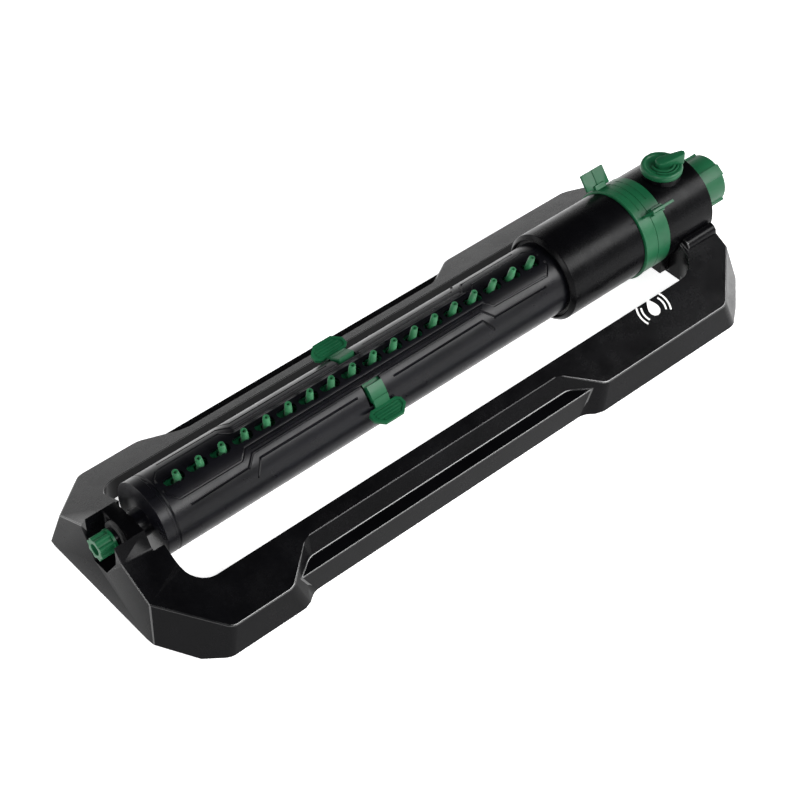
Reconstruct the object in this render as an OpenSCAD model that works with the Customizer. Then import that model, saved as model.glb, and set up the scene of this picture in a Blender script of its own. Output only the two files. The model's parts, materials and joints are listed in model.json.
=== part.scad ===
// Oscillating lawn sprinkler: a moulded base, an oscillating spray tube with its
// own geared water motor, range rings, a flow valve and a hose coupling.
// +X runs along the tube towards the hose, +Z is up, the origin is on the ground
// below the middle of the whole sprinkler.

/* [Tube] */
// Height of the tube axis above the ground
axis_z = 47.6; // [46:0.1:49]
// Lean of the nozzle row towards -Y in the stored pose, degrees
tilt = 10.5; // [0:0.5:20]
// Outer radius of the tube cover
cover_r = 24.8; // [24:0.1:25.4]
// Wall of the tube cover
cover_wall = 2.2; // [1.6:0.1:2.6]
// Distance between neighbouring nozzles
nozzle_pitch = 16.4; // [16:0.1:16.6]
// Middle of the nozzle row along X
row_x = -57.3; // [-59:0.1:-55]
// Travel of each spray-width slider
slider_travel = 2; // [1:0.5:2]

/* [Base] */
// Half width across the top edge of the outer walls
half_w = 76.7; // [74:0.1:80]
// Height of the top edge of the outer walls
rim_z = 19.7; // [17:0.1:22]
// Rise of the top surface per mm towards the middle
top_slope = 0.5; // [0.46:0.01:0.52]
// Outward draft of the outer walls, mm per mm of height
draft = 0.19; // [0.15:0.01:0.22]
// Wall of the base moulding
base_wall = 2.6; // [2:0.1:3]
// Half width of the opening between the rails
open_half_w = 49.2; // [48:0.1:50]

/* [Motor end] */
// Outer radius of the drive housing
housing_r = 30.5; // [30:0.1:31]
// Outer radius of the valve body
valve_r = 31; // [30.6:0.1:31.4]
// Outer radius of the range rings
ring_r = 31.5; // [31.2:0.1:32]
// Gear module of the reduction train
gear_module = 0.8; // [0.8:0.1:0.8]

/* [Hidden] */
$fn = 96;
eps = 0.02;
nozzle_count = 18;
nozzle_h = 15.6;

// Stations of the base outline: x, half width and height of each top corner
left_end = [-247.1, 44.4];
left_side = [-214, half_w];
left_waist = [-169.8, half_w];
left_rail = [-146.5, 57.9];
right_rail = [58, 57.9];
right_waist = [83, half_w];
right_side = [193.5, half_w];
right_end = [223.5, 47.4];
saddle_half = 19.7;
saddle_z = 58;
saddle_front = -247.1;
saddle_face = -235.5;
saddle_back = -226.5;
cradle_half = 30;
open_left = -219.4;
open_right = 194;
open_corner = 16;
skirt_z = 17;
arch_z = 10.7;
ledge_z = 18;
ledge_in = 64;
ledge_out = 72.6;
rib_x = [-180, -135, -90, -45, 0, 45, 105, 150];

// Stations along the tube axis
plug_face = -251.6;
plug_back = -239;
cap_face = -218;
cover_start = -211.5;
housing_face = 96.5;
housing_end = 161.4;
ring_split = 173;
ring_end = 184.4;
valve_end = 225;
collar_start = 226.2;
collar_end = 252.4;
knob_x = 204.2;
knob_z = 80.5;
spigot_r = 6.5;
fit = 0.06;
ring_left_angle = -39;
ring_right_angle = 39;
tab_x = -58.5;
tab_w = 11.6;

// Water motor: radius of its case, distance of the lay axle from the tube axis,
// the fixed shaft, the axles and the screws round the lid
motor_r = 26.2;
lay = 12.8;
shaft_start = 144.4;
shaft_r = 3.4;
axle_r = 1.5;
screw_angles = [30, 150, 270];

black = "#1b1b1d";
green = "#1d7a40";
steel = "#b9bcc0";
rubber = "#26272a";

// ---------------------------------------------------------------- helpers
// Height of the sloping top surface at half width y
function top_z(y) = rim_z + top_slope * (half_w - y);

// Turns its children's +Z to run along +X from x on the tube axis
module along(x) {
    translate([x, 0, axis_z]) rotate([0, 90, 0]) children();
}
// Tube frame: x along the tube, z up the nozzles, origin on the axis
module tilted(a = tilt) {
    translate([0, 0, axis_z]) rotate([a, 0, 0]) children();
}
module tube_x(x0, x1, r_out, r_in) {
    along(x0) difference() {
        cylinder(r = r_out, h = x1 - x0);
        if (r_in > 0) translate([0, 0, -1]) cylinder(r = r_in, h = x1 - x0 + 2);
    }
}
module rod_x(x0, x1, r) {
    along(x0) cylinder(r = r, h = x1 - x0);
}
// A rod on a line parallel to the tube axis, at [y, z] in the tube frame
module side_rod(x0, x1, at, r) {
    translate([x0, at[0], at[1]]) rotate([0, 90, 0]) cylinder(r = r, h = x1 - x0);
}
// Convex solid through a list of corners
module convex(points) {
    hull() polyhedron(points = points, faces = [[for (i = [0:len(points) - 1]) i]]);
}
// Spur gear of z teeth along +X at [y, z] in the tube frame, turned by phase
module gear(teeth, x0, x1, at = [0, 0], phase = 0, bore = 0) {
    pitch_r = gear_module * teeth / 2;
    root = pitch_r - 1.15 * gear_module;
    tip = pitch_r + 0.85 * gear_module;
    step = 360 / teeth;
    outline = [for (i = [0:teeth - 1], p = [[-0.34, root], [-0.12, tip], [0.12, tip], [0.34, root]])
        let (a = (i + p[0]) * step + phase) [p[1] * sin(a), p[1] * cos(a)]];
    translate([x0, at[0], at[1]]) rotate([0, 90, 0])
        difference() {
            linear_extrude(x1 - x0) rotate(90) mirror([0, 1]) polygon(outline);
            if (bore > 0) translate([0, 0, -1]) cylinder(r = bore, h = x1 - x0 + 2, $fn = 32);
        }
}
module rounded_plan(x0, x1, half, r, z0, z1) {
    translate([0, 0, z0]) linear_extrude(z1 - z0) {
        translate([x0 + r, -half]) square([x1 - x0 - 2 * r, 2 * half]);
        translate([x0, r - half]) square([x1 - x0, 2 * (half - r)]);
        for (x = [x0 + r, x1 - r], s = [-1, 1]) translate([x, s * (half - r)]) circle(r = r);
    }
}

// ------------------------------------------------------------------- base
foot_y = half_w + draft * rim_z;
// Wide end blocks; t moves every face inwards
module left_block(t) {
    convex([for (s = [-1, 1], p = [
        [left_end[0] + t, s * (left_end[1] - t), top_z(left_end[1]) - t],
        [left_side[0] + t, s * (half_w - t), rim_z - t],
        [left_waist[0] - t, s * (half_w - t), rim_z - t],
        [left_rail[0] - t, s * (left_rail[1] - t), top_z(left_rail[1]) - t],
        [left_end[0] + t, s * saddle_half, top_z(saddle_half) - t],
        [left_rail[0] - t, s * saddle_half, top_z(saddle_half) - t],
        [-253.9 + t, s * (54 - t), 0],
        [-219.7 + t, s * (foot_y - t), 0],
        [left_waist[0] + 7.3 - t, s * (foot_y - t), 0],
        [-137.5 - t, s * (62 - t), 0]
    ]) p]);
}
module right_block(t) {
    convex([for (s = [-1, 1], p = [
        [right_end[0] - t, s * (right_end[1] - t), top_z(right_end[1]) - t],
        [right_side[0] - t, s * (half_w - t), rim_z - t],
        [right_waist[0] + t, s * (half_w - t), rim_z - t],
        [right_rail[0] + t, s * (right_rail[1] - t), top_z(right_rail[1]) - t],
        [right_end[0] - t, s * cradle_half, top_z(cradle_half) - t],
        [right_rail[0] + t, s * cradle_half, top_z(cradle_half) - t],
        [230.4 - t, s * (57.2 - t), 0],
        [199.8 - t, s * (foot_y - t), 0],
        [right_waist[0] - 7.3 + t, s * (foot_y - t), 0],
        [49 + t, s * (62 - t), 0]
    ]) p]);
}
// Side rails with their outer ledge; t moves every face inwards
module rails(t) {
    profile = [
        [open_half_w - 6 + t, 0], [open_half_w - 6 + t, top_z(open_half_w - 6) - t],
        [left_rail[1] - t, top_z(left_rail[1]) - t], [ledge_in - t, ledge_z - t],
        [ledge_out - t, ledge_z - 1 - t], [73.8 - t, 0]
    ];
    for (s = [0, 1]) mirror([0, s, 0])
        translate([left_waist[0] + 4, 0, 0]) rotate([90, 0, 90])
            linear_extrude(right_waist[0] - left_waist[0] - 8) polygon(profile);
}
module base_solid(t) {
    left_block(t);
    right_block(t);
    rails(t);
}
// Raised saddle over the tube's outer bearing
module saddle() {
    translate([saddle_front, 0, 0]) rotate([90, 0, 90])
        linear_extrude(saddle_back - saddle_front)
            polygon([[-saddle_half, 40], [-saddle_half, top_z(saddle_half)],
                [-14.3, saddle_z], [14.3, saddle_z],
                [saddle_half, top_z(saddle_half)], [saddle_half, 40]]);
}
// What stays solid inside the shell: the skirt round the opening, the ribs under
// the rails, the nose round the bearing and the floor of the cradle
module core() {
    rounded_plan(open_left - base_wall, open_right + base_wall,
        open_half_w + base_wall, open_corner + base_wall, skirt_z, 60);
    for (x = rib_x, s = [-1, 1]) translate([x, s * 65 - 18, 6]) cube([1.8, 36, 60]);
    translate([-260, -saddle_half, 27]) cube([saddle_back + 260, 2 * saddle_half, 40]);
    translate([open_right, -cradle_half - 6, 13]) cube([60, 2 * cradle_half + 12, 26]);
}
module base_frame() {
    color(black) difference() {
        union() {
            base_solid(0);
            saddle();
            // rounded ridges beside the valve body
            for (s = [-1, 1]) translate([open_right + 2, s * 33, axis_z - 6.5]) rotate([0, 90, 0])
                cylinder(r = 5, h = right_end[0] - open_right - 3);
        }
        difference() {
            translate([0, 0, -eps]) base_solid(base_wall);
            core();
        }
        rounded_plan(open_left, open_right, open_half_w, open_corner, -1, 70);
        translate([saddle_back, -22, -1]) cube([30, 44, 80]);
        // arches between the feet at both ends
        for (x = [-262, 196]) translate([x, 0, 0]) rotate([90, 0, 90])
            linear_extrude(x < 0 ? 40 : 46) polygon([[-70, -1], [-70, 0], [-51, arch_z],
                [51, arch_z], [70, 0], [70, -1]]);
        // pocket for the cleaning plug and bore for the bush
        translate([-262, 0, 0]) rotate([90, 0, 90]) linear_extrude(saddle_face + 262)
            polygon([[-14.2, 70], [-14.2, 44], [-6, 31], [6, 31], [14.2, 44], [14.2, 70]]);
        rod_x(saddle_face - 1, saddle_back + 1, 8.5 + eps);
        // cradle
        rod_x(open_right - 8, 240, valve_r + 0.3);
        translate([open_right - 8, -24.3, 15.6]) cube([60, 48.6, 60]);
        for (s = [-1, 1]) translate([205, s * 14, 5]) cylinder(r = 1.8, h = 20, $fn = 32);
    }
}
module end_bush() {
    color(rubber) {
        tube_x(saddle_face, saddle_back, 8.5, spigot_r + fit);
        tube_x(saddle_face - 2, saddle_face, 10, spigot_r + fit);
    }
}
// Two self-tapping screws from below the cradle into the valve body's foot
module foot_screws() {
    color(steel) for (s = [-1, 1]) translate([205, s * 14, 0]) {
        translate([0, 0, 10.6]) cylinder(r = 3.4, h = 2.4, $fn = 32);
        translate([0, 0, 13]) cylinder(r = 1.6, h = 10, $fn = 32);
    }
}

// ------------------------------------------------------------- valve body
module valve_body() {
    color(black) difference() {
        union() {
            rod_x(ring_end + 0.4, valve_end, valve_r);
            // neck that carries the range rings and the motor's fixed shaft
            rod_x(housing_end + 0.6, ring_end + 1, 27);
            rod_x(shaft_start, housing_end + 2, shaft_r);
            // foot in the base's cradle
            translate([ring_end + 2, -24, 15.9]) cube([valve_end - ring_end - 2, 48, 30]);
            // boss under the flow knob
            translate([knob_x, 0, axis_z]) cylinder(r = 13, h = knob_z - axis_z - 0.5);
        }
        // water way from the inlet to the outlet holes round the fixed shaft
        rod_x(188, valve_end + 1, 10);
        // bearing of the motor's main axle in the fixed shaft
        rod_x(shaft_start - 1, 151, axle_r + fit);
        along(housing_end) for (a = [0:60:300]) rotate(a) translate([10, 0, 0])
            cylinder(r = 2.6, h = 12, $fn = 24);
        along(housing_end + 8) difference() {
            cylinder(r = 13, h = 12);
            translate([0, 0, -1]) cylinder(r = 5, h = 9);
        }
        rod_x(180, 189, 6);
        // bore of the valve rotor and groove for its O-ring
        translate([knob_x, 0, axis_z - 12]) cylinder(r = 9 + fit, h = 60);
        for (s = [-1, 1]) translate([205, s * 14, 13]) cylinder(r = 1.62, h = 10.2, $fn = 32);
    }
}
module inlet_nipple() {
    color(black) difference() {
        union() {
            rod_x(216, 236, 10 - eps);
            rod_x(valve_end, valve_end + 0.9, 13.6);
            rod_x(232.5, 236, 12.4);
        }
        rod_x(210, 240, 7.5);
    }
}
module filter_screen() {
    color(steel) {
        tube_x(236.1, 237.1, 12.2, 6.6);
        along(228.4) difference() {
            cylinder(r = 7.3, h = 8.7, $fn = 48);
            translate([0, 0, 0.6]) cylinder(r = 6.7, h = 9, $fn = 48);
            for (a = [0:45:315], r = [2.2, 4.8]) rotate(a) translate([r, 0, -1])
                cylinder(r = 0.6, h = 3, $fn = 16);
        }
    }
}
module hose_collar() {
    color(green) difference() {
        union() {
            rod_x(collar_start + 1.5, collar_end, 17.2);
            along(collar_start + 1.5) for (i = [0:3]) rotate(i * 90 + 36) translate([16.4, -4, 0])
                cube([1.9, 8, collar_end - collar_start - 1.5]);
            along(collar_start) cylinder(r1 = 15.8, r2 = 17.2, h = 1.5);
        }
        rod_x(collar_start - 1, 232.1, 10.05);
        rod_x(232, 240.1, 13.02);
        rod_x(240, collar_end + 1, 13.2);
    }
}
module hose_washer() {
    color(rubber) tube_x(237.5, 239.8, 13, 6.6);
}
module valve_rotor() {
    color(rubber) difference() {
        union() {
            translate([knob_x, 0, axis_z - 11.8]) cylinder(r = 9, h = 26);
            translate([knob_x, 0, axis_z + 14]) cylinder(r = 5, h = knob_z - axis_z - 14 + 3);
        }
        rod_x(190, 220, 6);
        translate([knob_x, 0, axis_z + 12]) rotate_extrude() translate([9, 0]) circle(r = 0.9, $fn = 24);
    }
}
module knob_o_ring() {
    color(rubber) translate([knob_x, 0, axis_z + 12]) rotate_extrude() difference() {
        translate([8.9, 0]) circle(r = 0.8, $fn = 24);
        translate([9 + fit - eps, -2]) square([2, 4]);
    }
}
// Flow knob: a dished disc with a spiral step, a hub and a pointer lever
module flow_knob() {
    color(green) translate([knob_x, 0, knob_z]) difference() {
        union() {
            difference() {
                union() {
                    cylinder(r = 13.6, h = 1.2);
                    translate([0, 0, 1.2]) cylinder(r = 14, h = 2.4);
                    translate([0, 0, 3.6]) cylinder(r1 = 14, r2 = 12.2, h = 1.4);
                }
                translate([0, 0, 3.8]) cylinder(r1 = 10.2, r2 = 11.4, h = 2);
            }
            // spiral step that shows how far the valve is open
            for (i = [0:15]) rotate(-150 + i * 15) translate([5.4 + i * 0.33, -0.9, 3.5])
                cube([1.6, 2.4, 0.9 + i * 0.03]);
            // pointer lever that rises towards its tip
            rotate(-26) convex([for (s = [-1, 1], p = [[-4.3, 1.5, 7.6], [-1, 3.9, 8.3], [5, 3.5, 9.7],
                [14.8, 2, 12.1]], z = [3.3, p[2]]) [p[0], s * p[1], z]]);
        }
        translate([0, 0, -1]) cylinder(r = 5, h = 4);
    }
}
module fixed_gear() {
    color("#d9d6cc") tilted() gear(20, 144.6, 149.4, [0, 0], 0, shaft_r);
}

// ------------------------------------------------------------ range rings
// A ring on the valve body's neck, with a finger tab outside and a stop inside
module ring_band(x0, x1, lip) {
    difference() {
        union() {
            rod_x(x0, x1, ring_r);
            if (lip > 0) rod_x(x0, x0 + 1.4, ring_r + 0.5);
        }
        rod_x(x0 - 1, x1 + 1, 27.06);
    }
}
// Upright finger paddle on a foot block
module paddle(x0, x1, foot0, foot1) {
    translate([foot0, -2.6, ring_r - 1]) cube([foot1 - foot0, 5.2, 4.4]);
    translate([x0, -0.9, ring_r + 1]) cube([x1 - x0, 1.8, 12.4]);
    translate([(x0 + x1) / 2 - 0.6, -1.5, ring_r + 1]) cube([1.2, 3, 12]);
}
module range_ring_left() {
    color(green) {
        ring_band(housing_end + 0.6, ring_split - 0.15, 1);
        tilted(ring_left_angle) difference() {
            paddle(157.2, 176.5, 163, 172);
            translate([156, -4, ring_r - 3]) cube([housing_end + 0.6 - 156, 8, 4.6]);
        }
    }
}
module range_ring_right() {
    color(green) {
        ring_band(ring_split + 0.15, ring_end - 0.1, 0);
        tilted(ring_right_angle) paddle(167.4, 186, 174, 183.6);
    }
}

// ------------------------------------------------- tube body: motor and shell
module drive_housing() {
    color(black) difference() {
        union() {
            rod_x(housing_face + 2.5, housing_end, housing_r);
            along(housing_face) cylinder(r1 = housing_r - 2.5, r2 = housing_r, h = 2.5);
        }
        rod_x(housing_face - 1, 112, 27.2);
        rod_x(111, 114, cover_r + 0.2);
        rod_x(113.9, housing_end - 2.2, 28);
        rod_x(housing_end - 3, housing_end + 1, 27.2);
    }
}
module front_seal_ring() {
    color(rubber) tube_x(99.5, 103.5, 27.1, cover_r + 0.05);
}
// Motor case: a cup whose open end faces the hose, with three screw bosses
module motor_case() {
    color("#3a3b3e") tilted() difference() {
        union() {
            translate([118, 0, 0]) rotate([0, 90, 0]) cylinder(r = motor_r, h = 35);
            side_rod(117.5, 118.5, [0, 0], 20);
        }
        difference() {
            side_rod(120, 160, [0, 0], motor_r - 1.6);
            for (a = screw_angles) rotate([a, 0, 0]) side_rod(144, 151.15, [0, 21.5], 3.6);
        }
        for (a = screw_angles) rotate([a, 0, 0]) side_rod(147, 152, [0, 21.5], 1.25);
        side_rod(110, 122, [0, 0], 17);
    }
}
// Lid of the motor: bearings for the axles and the fixed shaft
module motor_lid() {
    color("#3a3b3e") tilted() difference() {
        side_rod(151.2, 153.2, [0, 0], motor_r - 1.65);
        side_rod(150, 155, [0, 0], shaft_r + fit);
        side_rod(150, 155, [0, lay], axle_r);
        for (a = screw_angles) rotate([a, 0, 0]) side_rod(150, 155, [0, 21.5], 1.3);
        for (a = [30, 200, 300]) rotate([a, 0, 0]) side_rod(150, 155, [0, 17.5], 2.2);
    }
}
module case_screws() {
    color(steel) tilted() for (a = screw_angles) rotate([a, 0, 0]) {
        side_rod(148.2, 153.4, [0, 21.5], 1.24);
        side_rod(153.22, 154.6, [0, 21.5], 2.3);
    }
}
// Disc whose slanted jets drive the turbine
module jet_plate() {
    color("#d9d6cc") tilted() difference() {
        side_rod(122, 124.4, [0, 0], motor_r - 1.65);
        for (a = [30:60:330]) rotate([a, 0, 0]) translate([120, 0, 15])
            rotate([0, 90, 0]) rotate([28, 0, 0]) cylinder(r = 1.5, h = 8, $fn = 24);
        side_rod(120, 126, [0, 0], axle_r);
    }
}
module turbine_wheel() {
    color("#e7e4da") tilted() {
        difference() {
            union() {
                side_rod(126, 131, [0, 0], 9);
                for (i = [0:9]) rotate([i * 36, 0, 0]) translate([126.2, -0.6, 8])
                    rotate([0, 0, 12]) cube([4.6, 1.2, 9.5]);
                gear(10, 130.9, 135.8, [0, 0], 18);
            }
            side_rod(120, 140, [0, 0], axle_r + fit);
        }
    }
}
module main_axle() {
    color(steel) tilted() side_rod(122, 150, [0, 0], axle_r);
}
module lay_axle() {
    color(steel) tilted() side_rod(131.4, 153.2, [0, lay], axle_r);
}
// Cluster gears: a 22-tooth wheel with a pinion, free on an axle
module third_gear() {
    color("#e7e4da") tilted() difference() {
        union() {
            gear(22, 132.2, 135.4, [0, lay]);
            gear(10, 135.3, 139.6, [0, lay], 18);
        }
        side_rod(130, 141, [0, lay], axle_r + fit);
    }
}
module second_gear() {
    color("#e7e4da") tilted() difference() {
        union() {
            gear(22, 136.2, 138.8);
            gear(10, 138.7, 143.8, [0, 0], 18);
        }
        side_rod(130, 148, [0, 0], axle_r + fit);
    }
}
module first_gear() {
    color("#e7e4da") tilted() difference() {
        union() {
            gear(22, 140.4, 143, [0, lay]);
            gear(12, 142.9, 149.8, [0, lay], 15);
        }
        side_rod(138, 160, [0, lay], axle_r + fit);
    }
}
// Flap that closes one of the two inlet ports and so reverses the jets
module flap_valve() {
    color("#d9d6cc") tilted() {
        side_rod(118.4, 121.6, [0, 0], 2);
        for (s = [-1, 1]) rotate([s * 62, 0, 0]) translate([119, -3, 1]) cube([1.6, 6, 13.5]);
    }
}
module trip_lever() {
    color("#d9d6cc") tilted() difference() {
        union() {
            side_rod(154.2, 154.9, [0, 0], 6);
            translate([154.2, -2, 4]) cube([0.7, 4, 22]);
        }
        side_rod(150, 160, [0, 0], shaft_r + fit);
    }
}
module trip_spring() {
    color(steel) tilted() rotate([-100, 0, 0]) translate([153.9, 0, 14]) rotate([0, 90, 0])
        rotate_extrude() translate([2.6, 0]) circle(r = 0.35, $fn = 16);
}

function nozzle_x(i) = row_x + (i - (nozzle_count - 1) / 2) * nozzle_pitch;
function nozzle_lean(i) = -16 + 26 * i / (nozzle_count - 1);
// Where a nozzle's foot stands, so that its tip ends over the middle of its slot
function nozzle_foot(i) = nozzle_x(i) - nozzle_h * sin(nozzle_lean(i));
// Sector of a ring along x, from angle a0 to a1 either side of the nozzle row
module sector(x0, x1, r_in, r_out, a0, a1) {
    translate([x0, 0, 0]) rotate([0, 90, 0]) rotate([0, 0, 180 + a0])
        rotate_extrude(angle = a1 - a0) translate([r_in, 0]) square([r_out - r_in, x1 - x0]);
}
module tube_cover() {
    color(black) tilted() difference() {
        side_rod(cover_start, 111, [0, 0], cover_r);
        side_rod(cover_start - 1, 112, [0, 0], cover_r - cover_wall);
        for (i = [0:nozzle_count - 1]) translate([nozzle_x(i), 0, 15]) {
            linear_extrude(20) {
                translate([-4.5, -2.7]) square([7.5, 5.4]);
                translate([3, 0]) circle(r = 3.6, $fn = 32);
                translate([-4.5, 0]) circle(r = 2.7, $fn = 32);
            }
        }
        for (s = [-1, 1]) sector(tab_x - tab_w / 2 - slider_travel - 0.4, tab_x + tab_w / 2 + 0.4,
            cover_r - 4, cover_r + 2, s > 0 ? 24 : -58, s > 0 ? 58 : -24);
    }
}
// Water tube with a flat top for the nozzle strips
module inner_tube() {
    color("#2c2d30") tilted() difference() {
        union() {
            side_rod(cap_face + 1, 116.5, [0, 0], 15);
            translate([cover_start + 4, -8, 8]) cube([310, 16, 8]);
            for (x = [cover_start + 1, 100]) side_rod(x, x + 3, [0, 0], cover_r - cover_wall - 0.02);
            side_rod(112, 117.4, [0, 0], 16.9);
        }
        side_rod(cap_face, 118, [0, 0], 12.6);
        for (i = [0:nozzle_count - 1]) translate([nozzle_foot(i), 0, 8])
            cylinder(r = 1.3, h = 10, $fn = 24);
    }
}
module groove_ring(x, r, wire, edge) {
    translate([x, 0, 0]) rotate([0, 90, 0]) rotate_extrude() intersection() {
        translate([r, 0]) circle(r = wire, $fn = 24);
        translate([r - 2, -2]) square([edge - r + 2, 4]);
    }
}
module groove(x, r, wire) {
    translate([x, 0, 0]) rotate([0, 90, 0]) rotate_extrude() translate([r, 0]) circle(r = wire, $fn = 24);
}
module tube_o_ring() {
    color(rubber) tilted() groove_ring(cap_face + 4, 11.8, 1, 12.58);
}
module end_cap() {
    color(black) tilted() difference() {
        union() {
            difference() {
                union() {
                    side_rod(cap_face, cover_start - 0.1, [0, 0], cover_r);
                    side_rod(cap_face + 1, cover_start + 0.9, [0, 0], cover_r - cover_wall - 0.02);
                    side_rod(saddle_back + 0.3, cap_face + 1, [0, 0], 9);
                    side_rod(-240, cap_face, [0, 0], spigot_r);
                }
                side_rod(cap_face + 1, cover_start + 2, [0, 0], 15.02);
            }
            side_rod(cap_face, cap_face + 8, [0, 0], 12.5);
        }
        side_rod(-241, cap_face + 9, [0, 0], 4.2);
        side_rod(cap_face + 3, cap_face + 9, [0, 0], 8);
        groove(cap_face + 4, 12, 1.25);
    }
}
// One half of the flexible nozzle strip, nine nozzles
module nozzles(first, last) {
    color(green) tilted() {
        translate([nozzle_x(first) - 7, -6, 16 + eps]) cube([nozzle_x(last) - nozzle_x(first) + 14, 12, 1.4]);
        for (i = [first:last]) translate([nozzle_foot(i), 0, 16]) rotate([0, nozzle_lean(i), 0])
            difference() {
                union() {
                    translate([0, 0, 0.75]) cylinder(r = 2.4, h = 4.25, $fn = 32);
                    translate([0, 0, 5]) cylinder(r1 = 2.4, r2 = 2, h = nozzle_h - 5, $fn = 32);
                }
                translate([0, 0, -1]) cylinder(r = 0.9, h = 20, $fn = 24);
            }
    }
}
// Spray-width slider: a comb plate over nine nozzles and a curved arm under the
// cover; the arm's root stays clear of the other slider's plate
module slider(s, first, last) {
    arm = s > 0 ? [tab_x - tab_w / 2, -46] : [-70, tab_x + tab_w / 2];
    root = s > 0 ? [-53, -46.2] : [-69.8, -60.5];
    // each hole leaves room for its leaning nozzle over the slider's whole travel
    hole = s > 0 ? 0.2 : 3.05;
    before = s > 0 ? 5.4 : 8;
    after = s > 0 ? 7 : 8.4;
    color(green) tilted() {
        difference() {
            union() {
                translate([nozzle_x(first) - before, -5.6, 19])
                    cube([nozzle_x(last) - nozzle_x(first) + before + after, 11.2, 1.5]);
                sector(arm[0], arm[1], 20.2, 22.2, s > 0 ? 18 : -46, s > 0 ? 46 : -18);
                sector(root[0], root[1], 20.35, 22, s > 0 ? 9 : -26, s > 0 ? 26 : -9);
            }
            for (i = [first:last]) translate([nozzle_x(i) + hole, 0, 15]) linear_extrude(9) {
                translate([-2.15, -2.9]) square([4.3, 5.8]);
                for (x = [-2.15, 2.15]) translate([x, 0]) circle(r = 2.9, $fn = 32);
            }
        }
    }
}
// Outline of a finger tab's paddle, seen from above the row
module paddle_outline() {
    polygon([[-9.8, -23.2], [-12.5, -25.6], [-12.5, -30.2], [-7, -35.3], [7, -35.3], [12.5, -30.2],
        [12.5, -25.6], [9.8, -23.2]]);
}
// Finger tab: a neck through the cover's window, a strap over the cover and a
// level paddle with a raised rim and ribs
module tab_paddle(s) {
    neck = tab_w - 0.2;
    strap = neck - 0.2;
    color(green) tilted() {
        sector(tab_x - neck / 2, tab_x + neck / 2, 21.6, 25.9, s > 0 ? 30 : -55, s > 0 ? 55 : -30);
        sector(tab_x - strap / 2, tab_x + strap / 2, 25.1, 26.5, s > 0 ? 50 : -66, s > 0 ? 66 : -50);
        mirror([0, s > 0 ? 0 : 1, 0]) translate([tab_x, 0, 10.4]) {
            difference() {
                linear_extrude(2.3) paddle_outline();
                translate([0, 0, 1.6]) linear_extrude(2) offset(delta = -1.8) paddle_outline();
            }
            for (i = [0:3]) {
                half = i < 1 ? 6.2 : 9;
                translate([-half, -33 + i * 2.1, 1.4]) cube([2 * half, 0.9, 0.8]);
            }
        }
    }
}
module width_slider_left() {
    slider(-1, 0, 8);
    tab_paddle(-1);
}
module width_slider_right() {
    slider(1, 9, 17);
    tab_paddle(1);
}
module nozzle_strip_left() {
    nozzles(0, 8);
}
module nozzle_strip_right() {
    nozzles(9, 17);
}
// Screw-out plug with eight lobes and a cleaning pin
module cleaning_plug() {
    color(green) tilted() difference() {
        union() {
            side_rod(plug_face, plug_back - 1.4, [0, 0], 6.4);
            for (i = [0:7]) rotate([i * 45, 0, 0]) side_rod(plug_face, plug_back - 1.4, [0, 5.9], 1.6);
            side_rod(plug_back - 3, plug_back - 1.4, [0, 0], 7.7);
            side_rod(plug_back - 2, -222, [0, 0], 4.2 - 0.05);
            side_rod(-222.5, -205, [0, 0], 0.8);
        }
        side_rod(plug_face - 1, plug_face + 8, [0, 0], 3.9);
        groove(-230, 4.2, 0.9);
    }
}
module plug_o_ring() {
    color(rubber) tilted() groove_ring(-230, 4.1, 0.8, 4.15);
}

base_frame();
end_bush();
foot_screws();
valve_body();
inlet_nipple();
filter_screen();
hose_collar();
hose_washer();
valve_rotor();
flow_knob();
knob_o_ring();
fixed_gear();
range_ring_left();
range_ring_right();
drive_housing();
front_seal_ring();
motor_case();
motor_lid();
case_screws();
jet_plate();
turbine_wheel();
main_axle();
lay_axle();
first_gear();
second_gear();
third_gear();
flap_valve();
trip_lever();
trip_spring();
tube_cover();
inner_tube();
tube_o_ring();
end_cap();
nozzle_strip_left();
nozzle_strip_right();
width_slider_left();
width_slider_right();
cleaning_plug();
plug_o_ring();
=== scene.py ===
"""Oscillating lawn sprinkler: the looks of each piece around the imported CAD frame."""
import json
import math

import bmesh
import bpy
from mathutils import Matrix, Vector


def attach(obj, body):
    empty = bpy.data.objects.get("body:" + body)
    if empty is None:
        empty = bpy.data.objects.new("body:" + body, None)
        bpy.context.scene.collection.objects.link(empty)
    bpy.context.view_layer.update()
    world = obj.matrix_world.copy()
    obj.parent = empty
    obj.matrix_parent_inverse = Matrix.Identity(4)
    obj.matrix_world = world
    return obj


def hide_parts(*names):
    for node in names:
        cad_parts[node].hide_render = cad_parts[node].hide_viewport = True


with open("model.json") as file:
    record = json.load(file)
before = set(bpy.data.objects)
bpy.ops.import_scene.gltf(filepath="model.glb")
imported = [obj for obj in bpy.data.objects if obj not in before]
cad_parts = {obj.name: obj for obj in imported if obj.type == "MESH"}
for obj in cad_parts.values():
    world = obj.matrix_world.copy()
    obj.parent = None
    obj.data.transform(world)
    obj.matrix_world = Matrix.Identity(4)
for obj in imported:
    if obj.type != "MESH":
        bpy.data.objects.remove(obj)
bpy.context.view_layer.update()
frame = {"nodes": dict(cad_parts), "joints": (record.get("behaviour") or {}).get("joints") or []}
nodes = frame["nodes"]
joints = {j["name"]: j for j in frame["joints"]}

MM = 0.001
AXIS_Z = joints["tube_oscillation"]["pos_m"][2]
LEAN = math.radians(10.5)          # lean of the nozzle row towards -Y at rest
COVER_R = 24.8 * MM
RING_TRACK_R = 31.55 * MM          # where the range rings' track groove runs
NOZZLE_PITCH = 16.4 * MM
ROW_MIDDLE = -57.3 * MM            # x of the middle of the nozzle row
NOZZLES = 18
KNOB = Vector(joints["flow_knob_turn"]["pos_m"])
KNOB_TURN = math.radians(-26)      # where the knob's pointer stands at rest
SAME_POINT = 2e-6                  # vertices of a CAD mesh closer than this are one
SAME_PLANE = math.radians(0.6)     # CAD faces that meet flatter than this are one


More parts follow.
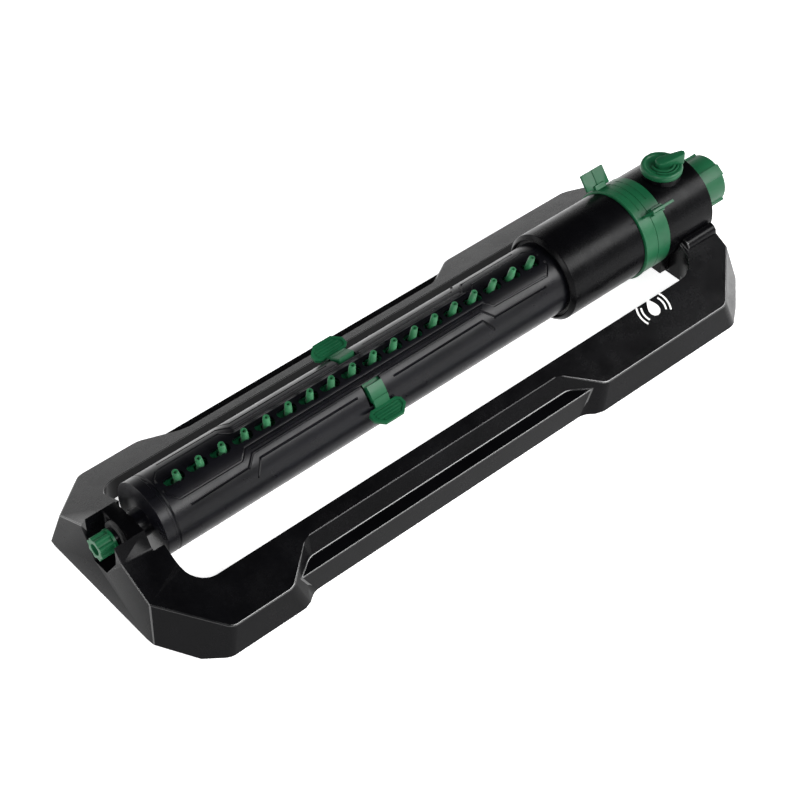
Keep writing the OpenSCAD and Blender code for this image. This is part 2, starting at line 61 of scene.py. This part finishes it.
# ------------------------------------------------------------------ materials
def linear(code):
    """sRGB hex to linear RGBA."""
    parts = [int(code[i:i + 2], 16) / 255 for i in (1, 3, 5)]
    return [c / 12.92 if c <= 0.04045 else ((c + 0.055) / 1.055) ** 2.4 for c in parts] + [1.0]


def add(tree, kind, inputs=None, **settings):
    """Adds a node with its settings; an input that is a socket is linked, any other is set."""
    made = tree.nodes.new(kind)
    for key, value in settings.items():
        setattr(made, key, value)
    for key, value in (inputs or {}).items():
        socket = made.inputs[key]
        if isinstance(value, bpy.types.NodeSocket):
            tree.links.new(value, socket)
        else:
            socket.default_value = value
    return made


def start(name, **uniform):
    """A new material: its tree, its shader and its object coordinates."""
    material = bpy.data.materials.new(name)
    material.use_nodes = True
    tree = material.node_tree
    shader = tree.nodes["Principled BSDF"]
    for key, value in uniform.items():
        shader.inputs[key.replace("_", " ")].default_value = value
    place = add(tree, "ShaderNodeTexCoord").outputs["Object"]
    return material, tree, shader, place


def per(size_mm):
    """Noise scale that gives features of that size."""
    return 1 / (size_mm * MM)


def noise(tree, place, size_mm, detail=2.0, rough=0.5):
    """Noise with features of that size."""
    return add(tree, "ShaderNodeTexNoise", {
        "Vector": place, "Scale": per(size_mm), "Detail": detail,
        "Roughness": rough}).outputs["Fac"]


def spread(tree, value, low, high, start_at=0.3, end_at=0.7):
    """Stretches a noise to the range low..high."""
    return add(tree, "ShaderNodeMapRange", {
        "Value": value, "From Min": start_at, "From Max": end_at,
        "To Min": low, "To Max": high}).outputs["Result"]


def mix(tree, share, first, second):
    """Blends two colours, given as hex or as a socket."""
    colour_a, colour_b, colour_out = 6, 7, 2      # the Mix node's sockets for colours
    made = add(tree, "ShaderNodeMix", {0: share}, data_type="RGBA")
    for socket, value in ((made.inputs[colour_a], first), (made.inputs[colour_b], second)):
        if isinstance(value, str):
            socket.default_value = linear(value)
        else:
            tree.links.new(value, socket)
    return made.outputs[colour_out]


def bump(tree, shader, height, depth_mm, strength=1.0, below=None):
    """Adds a relief; below is an earlier relief's normal."""
    inputs = {"Height": height, "Distance": depth_mm * MM, "Strength": strength}
    if below is not None:
        inputs["Normal"] = below
    normal = add(tree, "ShaderNodeBump", inputs).outputs["Normal"]
    tree.links.new(normal, shader.inputs["Normal"])
    return normal


def moulded(name, dark, light, rough, grain_mm, grain_depth, ior=1.49, shine=0.5, rim_shine=0):
    """Injection-moulded plastic: a faint cloudiness from the melt, a spark-eroded grain
    copied from the mould, and patches where handling has polished the grain. A real grain
    is finer than the render shows, so grain_mm is drawn as coarse as it needs to be."""
    material, tree, shader, place = start(name, IOR=ior, Specular_IOR_Level=shine)
    cloud = noise(tree, place, 34, 3.0)
    fleck = noise(tree, place, 2.2, 4.0, 0.6)
    tone = mix(tree, spread(tree, cloud, 0.0, 1.0), dark, light)
    tone = mix(tree, spread(tree, fleck, 0.0, 0.35, 0.5, 0.75), tone, light)
    tree.links.new(tone, shader.inputs["Base Color"])
    handled = noise(tree, place, 17, 2.0, 0.55)
    worn = add(tree, "ShaderNodeMath", {
        0: spread(tree, handled, rough - 0.05, rough + 0.05),
        1: spread(tree, fleck, -0.02, 0.03)}, operation="ADD").outputs[0]
    tree.links.new(worn, shader.inputs["Roughness"])
    grain = noise(tree, place, grain_mm, 2.0, 0.6)
    normal = bump(tree, shader, grain, grain_depth)
    bump(tree, shader, noise(tree, place, 26, 1.0), 0.05, 1.0, normal)
    if rim_shine:
        # rims burnished by handling catch more light than the faces between them
        rim = add(tree, "ShaderNodeAttribute", attribute_name="rim").outputs["Fac"]
        tree.links.new(spread(tree, rim, shine, rim_shine, 0.0, 1.0),
                       shader.inputs["Specular IOR Level"])
    return material


def drawn_cover():
    """Glossy moulded ABS: long flow lines along the tube and fine dust nibs, so the
    highlight along it is slightly streaked."""
    material, tree, shader, place = start("glossy_black_abs", IOR=1.53, Specular_IOR_Level=0.16)
    along = add(tree, "ShaderNodeMapping", {
        "Vector": place, "Scale": (0.04, 1.0, 1.0)}).outputs["Vector"]
    flow = noise(tree, along, 1.6, 2.0)
    cloud = noise(tree, place, 45, 2.0)
    tone = mix(tree, spread(tree, cloud, 0.0, 1.0), "#060608", "#0b0b0f")
    tone = mix(tree, spread(tree, flow, 0.0, 0.4), tone, "#121218")
    tree.links.new(tone, shader.inputs["Base Color"])
    tree.links.new(spread(tree, noise(tree, place, 12, 3.0), 0.26, 0.34),
                   shader.inputs["Roughness"])
    normal = bump(tree, shader, flow, 0.004)
    bump(tree, shader, noise(tree, place, 0.5, 2.0), 0.008, 1.0, normal)
    return material


def elastomer(name, dark, light, rough):
    """Soft elastomer: bloom that dulls it in patches and a fine tooth, so it looks
    more matt than the hard plastic beside it."""
    material, tree, shader, place = start(name, IOR=1.5, Sheen_Weight=0.15, Sheen_Roughness=0.5)
    bloom = noise(tree, place, 5, 3.0)
    tone = mix(tree, spread(tree, bloom, 0.0, 1.0), dark, light)
    tree.links.new(tone, shader.inputs["Base Color"])
    tree.links.new(spread(tree, bloom, rough - 0.06, rough + 0.08), shader.inputs["Roughness"])
    normal = bump(tree, shader, noise(tree, place, 0.35, 3.0), 0.015)
    bump(tree, shader, noise(tree, place, 3.0, 1.0), 0.03, 1.0, normal)
    return material


def metal(name, dark, light, rough, stretch):
    """Bare or plated steel: tool marks drawn out one way and duller spots of oxide."""
    material, tree, shader, place = start(name, Metallic=1.0)
    drawn = add(tree, "ShaderNodeMapping", {"Vector": place, "Scale": stretch}).outputs["Vector"]
    marks = noise(tree, drawn, 0.3, 3.0)
    spots = noise(tree, place, 2.5, 4.0)
    tone = mix(tree, spread(tree, spots, 0.0, 1.0, 0.45, 0.7), light, dark)
    tree.links.new(tone, shader.inputs["Base Color"])
    tree.links.new(spread(tree, marks, rough - 0.06, rough + 0.1), shader.inputs["Roughness"])
    bump(tree, shader, marks, 0.006)
    return material


def studio_floor():
    """Matt pale card: a barely uneven white."""
    material, tree, shader, place = start("white_card", Specular_IOR_Level=0.0,
                                          Emission_Color=(1, 1, 1, 1), Emission_Strength=0.8)
    tone = mix(tree, noise(tree, place, 220, 1.0), "#fbfbfb", "#ffffff")
    tree.links.new(tone, shader.inputs["Base Color"])
    tree.links.new(spread(tree, noise(tree, place, 90, 1.0), 0.88, 0.98),
                   shader.inputs["Roughness"])
    return material


satin_black = moulded("spark_eroded_black_polypropylene", "#040405", "#08080a", 0.24, 0.55, 0.01,
                      shine=0.09, rim_shine=1.0)
gloss_black = drawn_cover()
housing_black = moulded("black_abs_housing", "#040405", "#08080a", 0.27, 0.6, 0.006, 1.53,
                        shine=0.07)
green = moulded("green_polypropylene", "#114a2e", "#195a39", 0.38, 0.6, 0.012, shine=0.25)
nozzle_green = elastomer("green_tpe_nozzles", "#125731", "#1e7043", 0.45)
seal_black = elastomer("black_nitrile_seal", "#0d0d0e", "#1b1b1c", 0.6)
zinc = metal("zinc_plated_steel", "#7d8085", "#c3c6c9", 0.3, (1.0, 1.0, 0.1))
ground_steel = metal("ground_steel_axle", "#9b9da0", "#d2d4d6", 0.2, (1.0, 0.08, 0.08))
spring_steel = metal("drawn_spring_steel", "#6d7074", "#a9acb0", 0.3, (0.2, 1.0, 1.0))
screen_steel = metal("stamped_stainless_screen", "#85888c", "#babdc0", 0.28, (1.0, 1.0, 1.0))
acetal = moulded("natural_acetal_gears", "#d8d4c8", "#ebe8de", 0.36, 0.8, 0.01, 1.48)
glass_nylon = moulded("glass_filled_nylon_motor", "#26272a", "#383a3d", 0.5, 0.45, 0.03, 1.53)
pad_print = moulded("white_pad_print_ink", "#e4e4e2", "#f6f6f4", 0.5, 0.5, 0.01, 1.5)


# --------------------------------------------------------------------- pieces
def place_on_tube(x, angle_deg, r=COVER_R):
    """A point on the tube: angle_deg is from the nozzle row, positive towards -Y."""
    a = math.radians(angle_deg) + LEAN
    return Vector((x, -r * math.sin(a), AXIS_Z + r * math.cos(a)))


TUBE = Matrix.Translation((0, 0, AXIS_Z)) @ Matrix.Rotation(LEAN, 4, "X")


def put(name, data):
    """A new object in the scene."""
    made = bpy.data.objects.new(name, data)
    bpy.context.scene.collection.objects.link(made)
    return made


def to_mesh(bm, name):
    """The bmesh as a mesh; the bmesh is freed."""
    mesh = bpy.data.meshes.new(name)
    bm.to_mesh(mesh)
    bm.free()
    return mesh


def applied(holder):
    """The mesh that an object makes with its modifiers or its curve bevel."""
    ready = holder.evaluated_get(bpy.context.evaluated_depsgraph_get())
    return bpy.data.meshes.new_from_object(ready)


def shade(mesh, sharp_deg):
    """Smooth shading that breaks at edges sharper than that."""
    for face in mesh.polygons:
        face.use_smooth = True
    mesh.set_sharp_from_angle(angle=math.radians(sharp_deg))


def finish_piece(bm, name, material, body, slot, *replaced, turn_out=True, weighted=False):
    """Turns a bmesh into a named piece that rides on a body. turn_out points the faces of a
    new shape outwards; a merged CAD mesh already points the right way."""
    if turn_out:
        bmesh.ops.recalc_face_normals(bm, faces=bm.faces)
    adopt(to_mesh(bm, name), name, material, body, slot, *replaced, weighted=weighted)


def adopt(mesh, name, material, body, slot, *replaced, weighted=False):
    """Gives a finished mesh its shading, material, body and the nodes it replaces; slot is not
    used.
    """
    shade(mesh, 26 if weighted else 38)
    if not weighted:
        true_rounds(mesh)
    mesh.materials.clear()
    mesh.materials.append(material)
    piece = put(name, mesh)
    if weighted:
        normals = piece.modifiers.new("flat_faces_stay_flat", "WEIGHTED_NORMAL")
        normals.keep_sharp = True
        normals.weight = 80
    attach(piece, body)
    if replaced:
        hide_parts(*replaced)


def round_off(bm, edges, width_mm, segments, clamp=True):
    """Rounds edges of a bmesh, and returns what the operator made."""
    return bmesh.ops.bevel(bm, geom=edges, offset=width_mm * MM, offset_type="OFFSET",
                           segments=segments, profile=0.5, affect="EDGES", material=-1,
                           clamp_overlap=clamp)


def split_many_sided(bm):
    """Triangulates the faces with more than four corners."""
    bmesh.ops.triangulate(bm, faces=[f for f in bm.faces if len(f.verts) > 4])


def cad_copy(node):
    """A copy of a CAD mesh with its loose triangles merged into whole faces."""
    bm = bmesh.new()
    bm.from_mesh(nodes[node].data)
    bmesh.ops.remove_doubles(bm, verts=bm.verts, dist=SAME_POINT)
    bmesh.ops.dissolve_limit(bm, angle_limit=SAME_PLANE, verts=bm.verts, edges=bm.edges)
    return bm


def rounded_copy(node, width_mm, segments=3):
    """A merged copy of a CAD mesh with every edge over 28 degrees rounded."""
    bm = cad_copy(node)
    edges = [e for e in bm.edges if len(e.link_faces) == 2
             and e.calc_face_angle(0) > math.radians(28)]
    round_off(bm, edges, width_mm, segments)
    split_many_sided(bm)
    return bm


def true_rounds(mesh):
    """Gives every face that lies on a cylinder about the tube axis that cylinder's normals,
    so long facets and cut grooves don't disturb the highlight."""
    end_on, in_line = 0.02, 0.989      # cosines: to the axis at most, to the radius at least
    corners = [Vector(n.vector) for n in mesh.corner_normals]
    for face in mesh.polygons:
        flat = face.normal
        if abs(flat.x) > end_on:
            continue
        for loop in face.loop_indices:
            at = mesh.vertices[mesh.loops[loop].vertex_index].co
            out = Vector((0, at.y, at.z - AXIS_Z)).normalized()
            if abs(out.dot(flat)) > in_line:
                corners[loop] = out if out.dot(flat) > 0 else -out
    mesh.normals_split_custom_set(corners)


def base_shell():
    """The base moulding: upright corners rounded wide, all other outer edges narrow. The face
    attribute "rim" marks the narrow ones for the material."""
    bm = cad_copy("base_frame")
    bm.normal_update()

    def outer(edge, from_deg):
        """An edge that is seen from above or from the side and is clear of the ground."""
        return (len(edge.link_faces) == 2 and edge.calc_face_angle(0) > math.radians(from_deg)
                and all(f.normal.z > -0.05 for f in edge.link_faces)
                and max(v.co.z for v in edge.verts) > 1 * MM)

    def upright(edge):
        """A corner that runs up the outside wall, longer than 9 mm."""
        run = edge.verts[1].co - edge.verts[0].co
        return abs(run.z) > 0.72 * run.length and run.length > 9 * MM

    def far_out(edge):
        """An edge on the outer side of a rail or at the hose end."""
        return all(abs(v.co.y) > 51 * MM or v.co.x > 225 * MM for v in edge.verts)

    def at_saddle(edge):
        """An edge around the saddle, whose small faces leave no room for a rounding."""
        end_rim = all(abs(v.co.y) > 19 * MM and v.co.x < -240 * MM for v in edge.verts)
        near = any(abs(v.co.y) < 36 * MM and v.co.x < -200 * MM for v in edge.verts)
        return near and not end_rim

    rim = bm.faces.layers.int.new("rim")
    wide = [e for e in bm.edges if outer(e, 18) and upright(e) and far_out(e)]
    round_off(bm, wide, 3.2, 5, clamp=False)
    bm.normal_update()
    narrow = [e for e in bm.edges if outer(e, 22) and not at_saddle(e)]
    for face in round_off(bm, narrow, 0.7, 4, clamp=False)["faces"]:
        face[rim] = 1
    split_many_sided(bm)
    finish_piece(bm, "base_shell", satin_black, "base", "base_black", "base_frame",
                 turn_out=False, weighted=True)


def softened(name, node, width_mm, material, body, slot, segments=3):
    """A CAD node shown with its edges rounded and no other change."""
    bm = rounded_copy(node, width_mm, segments)
    finish_piece(bm, name, material, body, slot, node, turn_out=False)


def bars(name, runs, radius_mm):
    """Round bars along runs of points, as one closed mesh for cutting grooves."""
    curve = bpy.data.curves.new(name, "CURVE")
    curve.dimensions = "3D"
    curve.bevel_depth = radius_mm * MM
    curve.bevel_resolution = 2
    curve.use_fill_caps = True
    for run in runs:
        spline = curve.splines.new("POLY")
        spline.points.add(len(run) - 1)
        for point, at in zip(spline.points, run):
            point.co = (*at, 1.0)
    holder = put(name, curve)
    mesh = applied(holder)
    bpy.data.objects.remove(holder)
    return put(name, mesh)


def carve(bm, name, cutter):
    """The bmesh's shape less the cutter, as a mesh."""
    blank = put(name + "_blank", to_mesh(bm, name))
    tool = blank.modifiers.new("grooves", "BOOLEAN")
    tool.object = cutter
    tool.operation = "DIFFERENCE"
    tool.solver = "EXACT"
    tool.use_self = True
    carved = applied(blank)
    bpy.data.objects.remove(blank)
    bpy.data.objects.remove(cutter)
    return carved


def fine_run(corners):
    """Points on the cover between corners given as (x in mm, degrees from the row)."""
    step_mm, mm_per_deg = 2.0, 0.43
    points = []
    for (x0, a0), (x1, a1) in zip(corners, corners[1:]):
        count = max(1, round(math.hypot(x1 - x0, (a1 - a0) * mm_per_deg) / step_mm))
        for i in range(count):
            t = i / count
            points.append(place_on_tube((x0 + t * (x1 - x0)) * MM, a0 + t * (a1 - a0)))
    x, a = corners[-1]
    points.append(place_on_tube(x * MM, a))
    return points


# Grooves of the cover, in mm along the tube and degrees from the row, mirrored about it
PANEL_EDGE = [(-207.2, 6.9), (-206.6, 15.5), (-201.1, 28.1), (-156.7, 28.1), (-150.7, 13.9),
              (36.4, 12.7), (41.7, 25.6), (86.2, 28.3), (91.1, 13.9), (91.1, 6.5)]
BELT = [(-197.0, 42.4), (-155.3, 40.4), (-148.5, 24.6), (31.6, 22.4), (38.7, 39.9),
        (82.3, 40.9)]
FLANK_LEFT = [(-152.0, 60.8), (-145.9, 36.8), (-72, 36.6)]
FLANK_RIGHT = [(-44, 36.4), (29.2, 35.3), (35.4, 57.3)]
BELT_SHADOW = [(x, a + 2.6) for x, a in BELT[1:-1]]
PANEL_LINES = [[(-149.3, 17.0), (34.6, 15.8)], [(-148.9, 20.6), (33.6, 19.0)]]
END_GROOVE_X = -209.4 * MM


def cover():
    """The tube's cover with its deep and fine grooves cut in on both sides."""
    def both_sides(*grooves):
        return [[fine_run([(x, side * a) for x, a in corners]) for corners in grooves]
                for side in (1, -1)]

    deep = sum(both_sides(PANEL_EDGE, BELT, FLANK_LEFT, FLANK_RIGHT), [])
    deep.append([place_on_tube(END_GROOVE_X, a) for a in range(0, 361, 4)])
    fine = sum(both_sides(BELT_SHADOW, *PANEL_LINES), [])
    bm = rounded_copy("tube_cover", 0.35, 2)
    carved = carve(bm, "tube_cover_a", bars("deep_grooves", deep, 0.8))
    bm = bmesh.new()
    bm.from_mesh(carved)
    carved = carve(bm, "tube_cover_shell", bars("fine_grooves", fine, 0.48))
    adopt(carved, "tube_cover_shell", gloss_black, "tube", "cover_black", "tube_cover")


def ring(name, node, body, x_mm, angles):
    """A range ring with its shallow track groove."""
    bm = rounded_copy(node, 0.3, 2)
    arc = [Vector((x_mm * MM, -RING_TRACK_R * math.sin(math.radians(a)),
                   AXIS_Z + RING_TRACK_R * math.cos(math.radians(a))))
           for a in range(*angles, 3)]
    carved = carve(bm, name, bars(name + "_track", [arc], 0.45))
    adopt(carved, name, green, body, "ring_green", node)


def lathe(profile, steps=32):
    """A closed turned shape from (radius, height) points in mm."""
    bm = bmesh.new()
    line = [bm.verts.new((r * MM, 0, z * MM)) for r, z in profile]
    edges = [bm.edges.new(pair) for pair in zip(line, line[1:])]
    bmesh.ops.spin(bm, geom=line + edges, cent=(0, 0, 0), axis=(0, 0, 1), dvec=(0, 0, 0),
                   angle=math.tau, steps=steps, use_merge=True)
    bmesh.ops.remove_doubles(bm, verts=bm.verts, dist=1e-7)
    return bm


def join(target, source, matrix=Matrix()):
    """Adds source's shape to target, placed by matrix."""
    bmesh.ops.transform(source, matrix=matrix, verts=source.verts)
    mesh = to_mesh(source, "joined")
    target.from_mesh(mesh)
    bpy.data.meshes.remove(mesh)


# One jet as (radius, height) in mm: its bore, rounded lip, shaft and flared foot
NOZZLE_H = 15.6 * MM
NOZZLE_PROFILE = [(0, 9), (0.85, 9), (0.85, 15.1), (1.1, 15.5), (1.5, 15.6), (1.85, 15.45),
                  (2.0, 15.1), (2.02, 13.4), (2.2, 13.1), (2.32, 9), (2.4, 5), (2.9, 3.4),
                  (3.4, 1.2), (3.4, 0.2), (0, 0.2)]


NOZZLE_FOOT = 16 * MM              # height of the jets' feet above the tube's axis
FIRST_FAN, WHOLE_FAN = -16, 26     # degrees along the tube: the first jet's, first to last


def nozzle_tip_x(i):
    return ROW_MIDDLE + (i - (NOZZLES - 1) / 2) * NOZZLE_PITCH


def nozzle_strip(name, node, first, last, body):
    """Flexible strip with its jets, each leaning a little more than the one before."""
    bm = bmesh.new()
    bmesh.ops.create_cube(bm, size=1)
    low, high = nozzle_tip_x(first), nozzle_tip_x(last)
    bmesh.ops.transform(bm, verts=bm.verts, matrix=TUBE
                        @ Matrix.Translation(((low + high) / 2, 0, 16.75 * MM))
                        @ Matrix.Diagonal((high - low + 14 * MM, 12 * MM, 1.4 * MM, 1)))
    round_off(bm, bm.edges[:], 0.3, 2, clamp=False)
    for i in range(first, last + 1):
        fan = math.radians(FIRST_FAN + WHOLE_FAN * i / (NOZZLES - 1))
        x = nozzle_tip_x(i) - NOZZLE_H * math.sin(fan)
        join(bm, lathe(NOZZLE_PROFILE), TUBE @ Matrix.Translation((x, 0, NOZZLE_FOOT))
             @ Matrix.Rotation(fan, 4, "Y"))
    finish_piece(bm, name, nozzle_green, body, "nozzle_green", node)


def prism(outline, height_mm):
    """An upright prism over an outline in mm, its bottom at z 0."""
    bm = bmesh.new()
    base = bm.faces.new([bm.verts.new((x * MM, y * MM, 0)) for x, y in outline])
    grown = bmesh.ops.extrude_face_region(bm, geom=[base])
    top = [v for v in grown["geom"] if isinstance(v, bmesh.types.BMVert)]
    bmesh.ops.translate(bm, verts=top, vec=(0, 0, height_mm * MM))
    bmesh.ops.recalc_face_normals(bm, faces=bm.faces)
    return bm


# The knob in mm: its dished disc as (radius, height), its pointer lever from above, and the
# two turns of its spiral step as name, first radius, first angle and fall per point
KNOB_DISC = [(0, -0.4), (13.0, -0.4), (13.7, 0.2), (14, 1.0), (14, 3.0), (13.7, 4.0),
             (13.0, 4.7), (12.2, 4.9), (11.5, 4.7), (10.8, 4.1), (10.2, 3.7), (0, 3.5)]
KNOB_TOP = 4.9
SPIRAL = [("spiral_outer", 12.0, 112, 0.036), ("spiral_inner", 9.2, 60, 0.02)]
LEVER = [(-4.4, -1.4), (-3.4, -3.2), (-1, -4.0), (5, -3.6), (13.8, -2.6), (15.2, -1.3),
         (15.2, 1.3), (13.8, 2.6), (5, 3.6), (-1, 4.0), (-3.4, 3.2), (-4.4, 1.4)]


def flow_knob():
    """Dished disc with a rim that steps up along a spiral, and a rising pointer lever."""
    bm = lathe(KNOB_DISC, 72)
    for name, radius, turn, drop in SPIRAL:
        run = []
        for k in range(25):
            a = math.radians(turn - k * 10)
            r = radius - k * 0.11
            run.append(Vector((math.cos(a) * r, math.sin(a) * r, KNOB_TOP - k * drop)) * MM)
        step = bars(name, [run], 0.8)
        bm.from_mesh(step.data)
        bpy.data.objects.remove(step)
    lever = prism(LEVER, 1)
    for v in lever.verts:
        top = v.co.z > 0.5 * MM
        rise = 0.24 * (v.co.x / MM + 4)
        v.co.z = (7.6 + rise if top else 3.3) * MM
    round_off(lever, [e for e in lever.edges if e.calc_face_angle(0) > 0.6], 0.7, 3)
    join(bm, lever)
    bmesh.ops.transform(bm, verts=bm.verts, matrix=Matrix.Translation(KNOB)
                        @ Matrix.Rotation(KNOB_TURN, 4, "Z"))
    finish_piece(bm, "flow_knob_dial", green, "knob", "knob_green", "flow_knob")


# The base's sloping top in mm: its height at its outer edge, and its rise towards the tube
TOP_EDGE_Y, TOP_EDGE_Z, TOP_RISE = 76.7, 19.7, 0.5
SIGN_X, SIGN_Y = 146, 54.5
INK = 0.12                         # thickness of the print
DROP = [(0, 7.2), (-1.6, 4.4), (-3.4, 1.6), (-4.3, -1.0), (-4.0, -3.4), (-2.5, -5.3),
        (0, -6.1), (2.5, -5.3), (4.0, -3.4), (4.3, -1.0), (3.4, 1.6), (1.6, 4.4)]


def water_mark():
    """Plain water-drop sign between arcs, printed on the sloping top beside the hose end."""
    def arc(side, r, turns):
        return [(side * r * math.cos(a), r * math.sin(a) - 1) for a in map(math.radians, turns)]

    bm = prism(DROP, INK)
    for side in (-1, 1):
        for r in (8.2, 11.6):
            band = arc(side, r, range(-32, 33, 8)) + arc(side, r + 1.3, range(32, -33, -8))
            join(bm, prism(band, INK))
    z = TOP_EDGE_Z + TOP_RISE * (TOP_EDGE_Y - SIGN_Y)
    bmesh.ops.transform(bm, verts=bm.verts, matrix=Matrix.Translation(
        (SIGN_X * MM, -SIGN_Y * MM, z * MM)) @ Matrix.Rotation(math.atan(TOP_RISE), 4, "X"))
    finish_piece(bm, "water_drop_print", pad_print, "base", "base_black")


base_shell()
softened("drive_housing_shell", "drive_housing", 0.8, housing_black, "tube", "housing_black")
softened("valve_body_shell", "valve_body", 0.5, housing_black, "base", "body_black")
softened("end_cap_shell", "end_cap", 0.45, gloss_black, "tube", "cover_black")
softened("hose_collar_nut", "hose_collar", 0.5, green, "collar", "collar_green")
softened("cleaning_plug_head", "cleaning_plug", 0.3, green, "plug", "plug_green")
cover()
ring("range_ring_left_band", "range_ring_left", "ring_left", 168.0, (-34, 31))
ring("range_ring_right_band", "range_ring_right", "ring_right", 178.2, (-30, 22))
nozzle_strip("nozzle_jets_left", "nozzle_strip_left", 0, 8, "tube")
nozzle_strip("nozzle_jets_right", "nozzle_strip_right", 9, 17, "tube")
softened("width_slider_left_comb", "width_slider_left", 0.25, green, "slider_left",
         "slider_green", 2)
softened("width_slider_right_comb", "width_slider_right", 0.25, green, "slider_right",
         "slider_green", 2)
flow_knob()
water_mark()

DRESS = {
    "end_bush": seal_black, "foot_screws": zinc, "inlet_nipple": housing_black,
    "filter_screen": screen_steel, "hose_washer": seal_black, "valve_rotor": seal_black,
    "knob_o_ring": seal_black, "fixed_gear": acetal, "front_seal_ring": seal_black,
    "motor_case": glass_nylon, "motor_lid": glass_nylon, "case_screws": zinc, "jet_plate": acetal,
    "turbine_wheel": acetal, "main_axle": ground_steel, "lay_axle": ground_steel,
    "first_gear": acetal, "second_gear": acetal, "third_gear": acetal, "flap_valve": acetal,
    "trip_lever": acetal, "trip_spring": spring_steel, "inner_tube": glass_nylon,
    "tube_o_ring": seal_black, "plug_o_ring": seal_black,
}
for node, material in DRESS.items():
    for slot in nodes[node].material_slots:
        slot.material = material


# ---------------------------------------------------------------------- studio
def area_light(name, watts, width, height, at, toward):
    """A rectangular soft box in metres, turned to face a point."""
    light = bpy.data.lights.new(name, "AREA")
    light.energy = watts
    light.shape = "RECTANGLE"
    light.size = width
    light.size_y = height
    aim = Vector(toward) - Vector(at)
    turn = aim.to_track_quat("-Z", "Y").to_matrix().to_4x4()
    put(name, light).matrix_world = Matrix.Translation(at) @ turn


floor_bm = bmesh.new()
bmesh.ops.create_grid(floor_bm, x_segments=1, y_segments=1, size=6)
floor = put("floor", to_mesh(floor_bm, "floor"))
floor.data.materials.append(studio_floor())

area_light("near_box", 44, 1.9, 0.6, (0.87, -1.2, 1.1), (0.0, 0, 0.03))
area_light("left_key", 22, 0.9, 0.9, (-1.7, -0.75, 1.25), (-0.05, 0, 0.03))
area_light("far_fill", 9, 1.6, 0.6, (-0.6, 1.7, 0.9), (0, 0, 0.03))

# The room is bright around the horizon and almost dark overhead
world = bpy.data.worlds.new("studio_room")
bpy.context.scene.world = world
world.use_nodes = True
sky = world.node_tree
height = add(sky, "ShaderNodeSeparateXYZ", {
    "Vector": add(sky, "ShaderNodeTexCoord").outputs["Generated"]}).outputs["Z"]
fade = add(sky, "ShaderNodeMapRange", {
    "Value": height, "From Min": 0.1, "From Max": 0.42,
    "To Min": 1.0, "To Max": 0.03}).outputs["Result"]
sky.links.new(fade, sky.nodes["Background"].inputs["Strength"])
sky.nodes["Background"].inputs["Color"].default_value = (1, 1, 1, 1)

camera_data = bpy.data.cameras.new("camera")
camera_data.lens = 92.16
camera_data.sensor_width = 36
camera = put("camera", camera_data)
camera.matrix_world = Matrix((
    (0.7546, 0.4665, -0.4615, -0.6160),
    (-0.6562, 0.5365, -0.5307, -0.6819),
    (0.0, 0.7033, 0.7109, 0.9298),
    (0, 0, 0, 1)))
bpy.context.scene.camera = camera
bpy.context.scene.view_settings.view_transform = "Standard"
